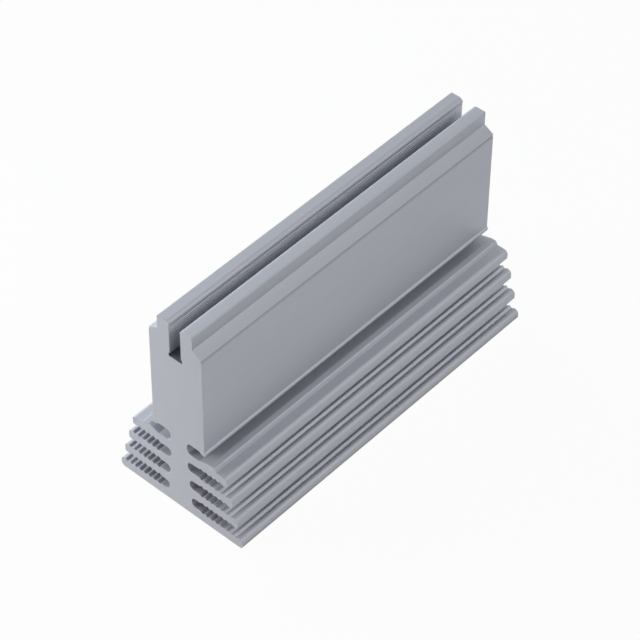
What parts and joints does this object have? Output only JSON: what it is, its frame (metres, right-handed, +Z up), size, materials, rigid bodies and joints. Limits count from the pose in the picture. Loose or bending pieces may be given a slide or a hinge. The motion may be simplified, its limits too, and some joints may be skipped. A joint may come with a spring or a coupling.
{
  "type": "extruded heat sink",
  "caption": "Tall extruded aluminium heat sink with a solid mounting block, a toothed clip slot in its top, and short ribbed fins either side of a central web.",
  "frame": {"origin": "middle of the underside, at half the length", "axes": "+Z up from the base plate to the slot's mouth, +Y along the extrusion, +X across the section"},
  "size_m": [0.039, 0.1, 0.06],
  "materials": {
    "raw_aluminium": "natural mill finish, satin along the extrusion, matt on the sawn ends"
  },
  "bodies": {
    "root": {"heat_sink": "raw_aluminium"}
  },
  "joints": []
}
